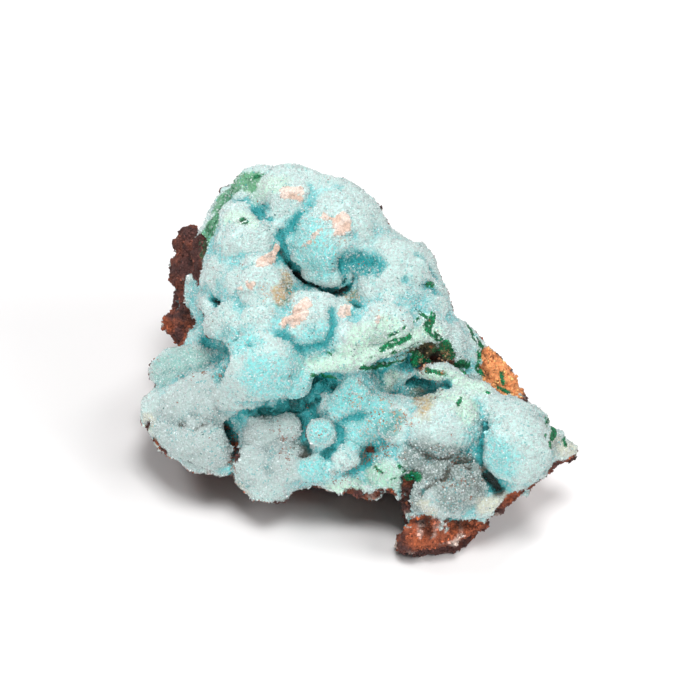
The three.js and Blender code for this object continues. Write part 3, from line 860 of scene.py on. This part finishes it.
# Crumbs strewn among the quartz: share of the grains, colour, radius of the patch, and route.
RUST_CRUMB = light(150, 84, 52)
TAN_CRUMB = light(214, 168, 132)
TEAL_CRUMB = light(28, 96, 96)
OLIVE_CRUMB = light(70, 84, 50)
DIRT = [
    (0.40, OLIVE_CRUMB, 3.0, [(13, -1), (16, 0.4), (19.4, -1)]),
    (0.30, TAN_CRUMB, 2.4, [(14, -2.4), (19, -2.2)]),
    (0.15, RUST_CRUMB, 4.0, [(2, -9), (6, -12), (10, -14)]),
    (0.16, TAN_CRUMB, 4.6, [(4, -10), (9, -15), (6, -17)]),
    (0.45, RUST_CRUMB, 2.6, [(11, -5.6), (18, -6)]),
    (0.26, RUST_CRUMB, 3.0, [(10, -9), (16, -9)]),
    (0.14, RUST_CRUMB, 2.4, [(-30, -5.4), (-25, -5)]),
    (0.06, RUST_CRUMB, 2.6, [(-6.2, -16.6), (-2, -13), (-9, -13)]),
    (0.40, RUST_CRUMB, 2.0, [(-24.4, -14.4), (-22.8, -19), (-23, -24)]),
    (0.35, RUST_CRUMB, 2.2, [(4, -19.8), (2, -23), (-2, -25)]),
    (0.26, RUST_CRUMB, 2.2, [(-14, -16), (-11, -18), (-13, -22)]),
    (0.30, TAN_CRUMB, 3.0, [(-12.6, 13.6), (-13, 9), (-15, 12)]),
    (0.25, TAN_CRUMB, 1.8, [(-0.6, 11), (0.8, 9)]),
    (0.05, TAN_CRUMB, 3.0, [(-7, 23), (-3, 22), (-8, 27)]),
    (0.05, RUST_CRUMB, 2.2, [(3, 16.6), (6, 17)]),
    (0.10, TEAL_CRUMB, 2.6, [(-18, 27), (-14, 25), (-11, 27)]),
    (0.05, TEAL_CRUMB, 3.4, [(4, 11), (8, 13), (13, 11)]),
    (0.06, TEAL_CRUMB, 2.6, [(-8, 1), (0, -1), (6, 1.4)]),
    (0.10, RUST_CRUMB, 3.6, [(18, -20), (24, -23), (22, -28)]),
    (0.16, TEAL_CRUMB, 3.6, [(16, -21), (20, -22), (26, -26)]),
    (0.35, RUST_CRUMB, 1.6, [(20, -21), (23, -23), (26, -23.4)]),
    (0.30, RUST_CRUMB, 1.8, [(7, -19.6), (10, -20.4)]),
    (0.40, RUST_CRUMB, 1.8, [(-33, -5.6), (-28, -4.8), (-25.4, -4)]),
    (0.05, TEAL_CRUMB, 2.6, [(27, -15), (26.4, -21)]),
    (0.004, TEAL_CRUMB, 60.0, [(0, 0)]),
    (0.003, RUST_CRUMB, 60.0, [(0, 0)]),
    (0.04, TAN_CRUMB, 3.0, [(7, 6), (3, 8), (12, -3)]),
    (0.10, RUST_CRUMB, 2.0, [(16, 4.6), (18, -0.6)]),
]
dice = np.random.default_rng(8)


def corners_of(mesh):
    """The three corners of each triangle of a mesh."""
    mesh.calc_loop_triangles()
    corners = np.empty(len(mesh.loop_triangles) * 3, np.int32)
    mesh.loop_triangles.foreach_get("vertices", corners)
    return corners.reshape(-1, 3)


triangles = corners_of(stone_mesh)
edge_one = points[triangles[:, 1]] - points[triangles[:, 0]]
edge_two = points[triangles[:, 2]] - points[triangles[:, 0]]
areas = np.linalg.norm(np.cross(edge_one, edge_two), axis=1) / 2


def strewn(count, liking):
    """Places strewn over the stone, as likely on a triangle as its area and the liking of its corners.

    Gives the places, the outward directions there, the depths of the valleys' painted shade, and the
    stone's colours with their painted light and shade.
    """
    odds = np.cumsum(areas * liking[triangles].mean(1))
    chosen = np.searchsorted(odds, dice.random(count) * odds[-1])
    one, two = dice.random(count), dice.random(count)
    flip = one + two > 1
    one[flip], two[flip] = 1 - one[flip], 1 - two[flip]
    shares = np.stack([1 - one - two, one, two], 1)
    corners = triangles[chosen]

    def blended(values):
        return np.einsum("nc,nc...->n...", shares, values[corners])

    spots, depth = blended(points), blended(painted_shade)
    tone = finish_and_painted_light_of(spots, blended(lie), blended(rise), depth)[0]
    return spots, unit(blended(outward)), depth, tone


def grains(name, places, axes, radius, height, colours, material):
    """A piece of three-sided double points, each with its tip along its axis and its other tip sunk.

    A tip stands a height above the ring of three corners, and the sunk tip a share of that below it.
    """
    count = len(places)
    aside = unit(np.cross(axes, dice.normal(size=(count, 3))))
    third = np.cross(axes, aside)
    corners = np.empty((count, 5, 3))
    corners[:, 0] = places + height[:, None] * axes
    corners[:, 4] = places - SUNK_TIP * height[:, None] * axes
    for n, turn in enumerate(np.radians([0, 120, 240])):
        corners[:, 1 + n] = places + radius[:, None] * (np.cos(turn) * aside + np.sin(turn) * third)
    corners = np.clip(corners, low_corner + GRAIN_ROOM, high_corner - GRAIN_ROOM)
    sides = np.array([[0, 1, 2], [0, 2, 3], [0, 3, 1], [4, 2, 1], [4, 3, 2], [4, 1, 3]])
    faces = (sides[None] + 5 * np.arange(count)[:, None, None]).reshape(-1, 3)
    mesh = bpy.data.meshes.new(name)
    mesh.vertices.add(5 * count)
    mesh.vertices.foreach_set("co", (corners * MM).ravel().astype(np.float32))
    mesh.loops.add(faces.size)
    mesh.loops.foreach_set("vertex_index", faces.ravel().astype(np.int32))
    mesh.polygons.add(len(faces))
    mesh.polygons.foreach_set("loop_start", np.arange(0, faces.size, 3, dtype=np.int32))
    mesh.update(calc_edges=True)
    give_colour(mesh, "grain", np.repeat(np.clip(colours, 0, 1), 5, axis=0))
    mesh.materials.append(material)
    piece = bpy.data.objects.new(name, mesh)
    bpy.context.scene.collection.objects.link(piece)
    stone_alone.objects.link(piece)
    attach(piece, "root")
    return piece


def leaning(normals, lean):
    """Directions that lean away from the outward ones, by about that much and each its own way."""
    return unit(normals + lean * dice.normal(size=normals.shape))


def quartz_material(name, roughness, clearness):
    """Quartz in the colour of its grain, see-through by a share, with light spreading a little inside."""
    material, shader, add, join = new_material(name)
    grain = add("ShaderNodeAttribute", attribute_name="grain")
    join(grain.outputs["Color"], shader.inputs["Base Color"])
    shader.inputs["Roughness"].default_value = roughness
    shader.inputs["IOR"].default_value = 1.544
    shader.inputs["Transmission Weight"].default_value = clearness
    shader.inputs["Subsurface Weight"].default_value = 0.4
    shader.inputs["Subsurface Scale"].default_value = 0.0005
    shader.inputs["Subsurface Radius"].default_value = (1.0, 1.0, 1.0)
    return material


def dirtied(colours, spots):
    """Colours of grains, with a share of the grains near each route of the dirt turned to its crumbs."""
    colours = colours.copy()
    for share, crumb, radius, route in DIRT:
        near = ease(from_route(spots, route), 1.2 * radius, 0.5 * radius)
        clump = 2.0 * ease(waves(spots, 1.1, 50), -0.2, 0.5)
        dirty = dice.random(len(spots)) < share * near * clump
        strength = dice.uniform(0.3, 0.9, np.count_nonzero(dirty))
        colours[dirty] = mixed(colours[dirty], crumb, strength)
    return colours


quartz = quartz_material("quartz_druse", roughness=0.25, clearness=0.12)
on_crust = druse * (0.25 + is_front) + 0.001
for number in range(DRUSE_PIECES):
    # Each grain takes the crust's colour where it stands, painted light and shade included.
    spots, normals, spot_painted_shade, tone = strewn(GRAINS_A_PIECE, on_crust)
    size = dice.uniform(*GRAIN_RADIUS, GRAINS_A_PIECE)
    # Whiter grains are kept out of the painted valley shade.
    whiter = dice.random(GRAINS_A_PIECE) ** 2 * ease(spot_painted_shade, 2.2, 0.6)
    speckled = mixed(tone, CLEAREST, MOST_CLEAR * whiter)
    speckled = speckled * dice.uniform(*GRAIN_TONE, GRAINS_A_PIECE)[:, None]
    bluer = dice.random(GRAINS_A_PIECE) < BLUER_SHARE * ease(waves(spots, 1.6, 80), -0.3, 0.6)
    speckled[bluer] = (1 - BLUER) * speckled[bluer] + BLUER * DEEP
    speckled = dirtied(speckled, spots)
    # Painted glints: a few grains are made plain white, away from the painted valley shade.
    glint = dice.random(GRAINS_A_PIECE) < GLINT_SHARE * ease(spot_painted_shade, 1.6, 0.8)
    speckled[glint] = GLINT
    axes = leaning(normals, GRAIN_LEAN)
    height = size * dice.uniform(*GRAIN_HEIGHT, GRAINS_A_PIECE)
    piece = grains(f"druse_{number + 1}", spots, axes, size, height, speckled, quartz)


# The flashing points. Larger, taller and clearer quartz points stand among the others and flash.
FLASHING = 6500
FLASHING_RADIUS = (0.2, 0.42)
FLASHING_HEIGHT = (1.1, 1.7)
FLASHING_LEAN = 0.35
FLASHING_WHITE = (0.5, 0.95)

spots, normals, spot_painted_shade, tone = strewn(FLASHING, on_crust)
size = dice.uniform(*FLASHING_RADIUS, FLASHING)
# Their colour is mixed towards the glint white, less so in the painted valley shade.
whiter = dice.uniform(*FLASHING_WHITE, FLASHING) * ease(spot_painted_shade, 1.8, 0.6)
tone = mixed(tone, GLINT, whiter)
axes = leaning(normals, FLASHING_LEAN)
height = size * dice.uniform(*FLASHING_HEIGHT, FLASHING)
clear_quartz = quartz_material("clear_quartz", roughness=0.05, clearness=0.4)
flashing = grains("flashing_points", spots, axes, size, height, tone, clear_quartz)


# The malachite, chalky and iron crumbs. Each is a dull crumbly skin on the stone where its own strokes
# and patches are, so each is grains again, duller than the quartz and in the stone's colours, painted
# shade included. A crumb's radius is in millimetres and its height is a share of that, each between two
# values.
CRUMB_HEIGHT = (0.5, 1.0)
# So little liking for a crumb is left everywhere that a skin is never without a place.
ANYWHERE = 1e-5


def crumb_material(name, roughness):
    """A dull material in the colour of its crumb, with fine specks."""
    new = new_material(name)
    material, shader, add, _ = new
    speck = add("ShaderNodeTexNoise", Scale=2500.0, Detail=2.0)
    freckled(new, add("ShaderNodeTexCoord"), "grain", speck, (0.0, 1.0), (0.6, 1.4))
    shader.inputs["Roughness"].default_value = roughness
    return material


def crumbs(name, count, liking, radius, lean, roughness, spread):
    """A piece of dull crumbs of mixed sizes, in the stone's colours with their painted shade, made lighter
    and darker.
    """
    spots, normals, _, tone = strewn(count, liking + ANYWHERE)
    size = dice.uniform(*radius, count)
    tone = dirtied(tone, spots) * np.exp(spread * dice.normal(size=count))[:, None]
    axes = leaning(normals, lean)
    height = size * dice.uniform(*CRUMB_HEIGHT, count)
    piece = grains(name, spots, axes, size, height, tone, crumb_material(name, roughness))


crumbs("malachite_crumbs", 9000, green**2,
       radius=(0.14, 0.32), lean=0.8, roughness=0.4, spread=0.4)
crumbs("chalk_crumbs", 6000, chalk**2,
       radius=(0.15, 0.34), lean=0.6, roughness=0.9, spread=0.1)
crumbs("iron_crumbs", 14000, rock * (1 - green) * (0.3 + is_front),
       radius=(0.2, 0.6), lean=0.7, roughness=0.8, spread=0.4)


# The table it rests on: a plain white sheet, wide enough to fill the view. Half its width is in metres.
TABLE_HALF = 3.0
TABLE_WHITE = (0.87, 0.858, 0.858, 1.0)
table_mesh = bpy.data.meshes.new("table")
table_corners = [(-TABLE_HALF, -TABLE_HALF, 0), (TABLE_HALF, -TABLE_HALF, 0),
                 (TABLE_HALF, TABLE_HALF, 0), (-TABLE_HALF, TABLE_HALF, 0)]
table_mesh.from_pydata(table_corners, [], [(0, 1, 2, 3)])
table_material, table_shader, _, _ = new_material("white_table")
table_shader.inputs["Base Color"].default_value = TABLE_WHITE
table_shader.inputs["Roughness"].default_value = 0.6
table_mesh.materials.append(table_material)
table = bpy.data.objects.new("table", table_mesh)
bpy.context.scene.collection.objects.link(table)
table_alone.objects.link(table)
